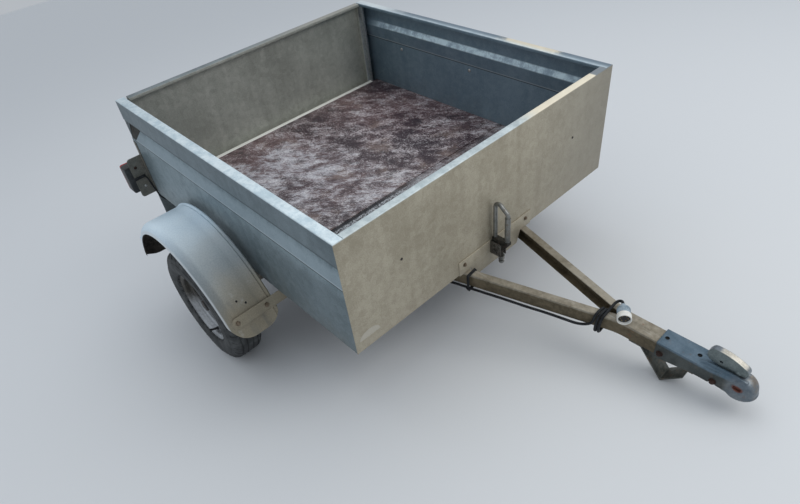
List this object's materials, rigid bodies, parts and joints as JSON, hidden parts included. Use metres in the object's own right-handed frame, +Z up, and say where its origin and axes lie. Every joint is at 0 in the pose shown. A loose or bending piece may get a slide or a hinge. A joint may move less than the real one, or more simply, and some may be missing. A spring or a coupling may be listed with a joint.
{
  "type": "utility trailer",
  "caption": "Small galvanised utility trailer with a tipping tub, drop tailgate, rolled mudguards, drawbar with ball coupling, lamp cable and a folded parking foot.",
  "frame": {"origin": "centre of the bounding box without the lamp cable, on the ground, with the trailer parked on its foot", "axes": "+X forward to the coupling, +Y to the trailer's left, +Z up"},
  "size_m": [1.7742, 1.318, 0.7353],
  "materials": {
    "galvanised_steel": "satin, weathered zinc",
    "galvanised_guard": "satin, weathered zinc",
    "drawbar_steel": "dull zinc with a brown bloom",
    "coupling_steel": "dull zinc, rust in the holes",
    "zinc_plated_steel": "satin zinc",
    "phenolic_plywood": "smooth dark film, scuffed",
    "tyre_rubber": "matte, dusty",
    "black_plastic": "matte",
    "red_lens": "gloss",
    "cable_rubber": "matte"
  },
  "bodies": {
    "chassis": {"axle_tube": "galvanised_steel", "stub_axles": "galvanised_steel", "drawbar_arm_right": "drawbar_steel", "drawbar_arm_left": "drawbar_steel", "axle_hangers": "drawbar_steel", "drawbar_crossbar": "drawbar_steel", "coupling_head": "coupling_steel", "coupling_lever": "coupling_steel", "parking_foot": "drawbar_steel", "cable_sleeve": "cable_rubber", "cable_tie": "black_plastic", "cable_run": "cable_rubber", "cable_winding": "cable_rubber", "cable_lead": "cable_rubber", "cable_plug": "black_plastic"},
    "tub": {"side_panel_right": "galvanised_steel", "side_panel_left": "galvanised_steel", "front_panel": "galvanised_steel", "floor_bearers": "galvanised_steel", "floor_board_rear": "phenolic_plywood", "floor_board_front": "phenolic_plywood", "rear_sill": "galvanised_steel", "rear_skirt": "galvanised_steel", "rear_posts": "galvanised_steel", "lamp_brackets": "galvanised_steel", "lamp_housing_right": "black_plastic", "lamp_lens_right": "red_lens", "lamp_housing_left": "black_plastic", "lamp_lens_left": "red_lens", "gate_hinges": "galvanised_steel", "mudguard_right": "galvanised_guard", "guard_straps_right": "galvanised_guard", "mudguard_left": "galvanised_guard", "guard_straps_left": "galvanised_guard", "tub_saddles": "galvanised_steel", "latch_plate": "galvanised_steel", "latch_bracket": "galvanised_steel", "latch_handle": "galvanised_steel", "latch_rod": "galvanised_steel"},
    "tailgate": {"tailgate": "galvanised_steel", "gate_leaves": "galvanised_steel", "gate_catches": "galvanised_steel"},
    "wheel_right": {"tyre_right": "tyre_rubber", "rim_right": "zinc_plated_steel", "hub_right": "zinc_plated_steel"},
    "wheel_left": {"tyre_left": "tyre_rubber", "rim_left": "zinc_plated_steel", "hub_left": "zinc_plated_steel"}
  },
  "joints": [
    {"name": "tub_tip", "type": "hinge", "parent": "chassis", "child": "tub", "pos_m": [-0.39247, 0, 0.187], "axis": [0, -1, 0], "range_deg": [0, 32]},
    {"name": "tailgate_drop", "type": "hinge", "parent": "tub", "child": "tailgate", "pos_m": [-0.85091, 0, 0.40873], "axis": [0, -1, 0], "range_deg": [0, 90]},
    {"name": "wheel_right_spin", "type": "hinge", "parent": "chassis", "child": "wheel_right", "pos_m": [-0.39247, -0.6, 0.187], "axis": [0, 1, 0], "continuous": true},
    {"name": "wheel_left_spin", "type": "hinge", "parent": "chassis", "child": "wheel_left", "pos_m": [-0.39247, 0.6, 0.187], "axis": [0, 1, 0], "continuous": true}
  ]
}
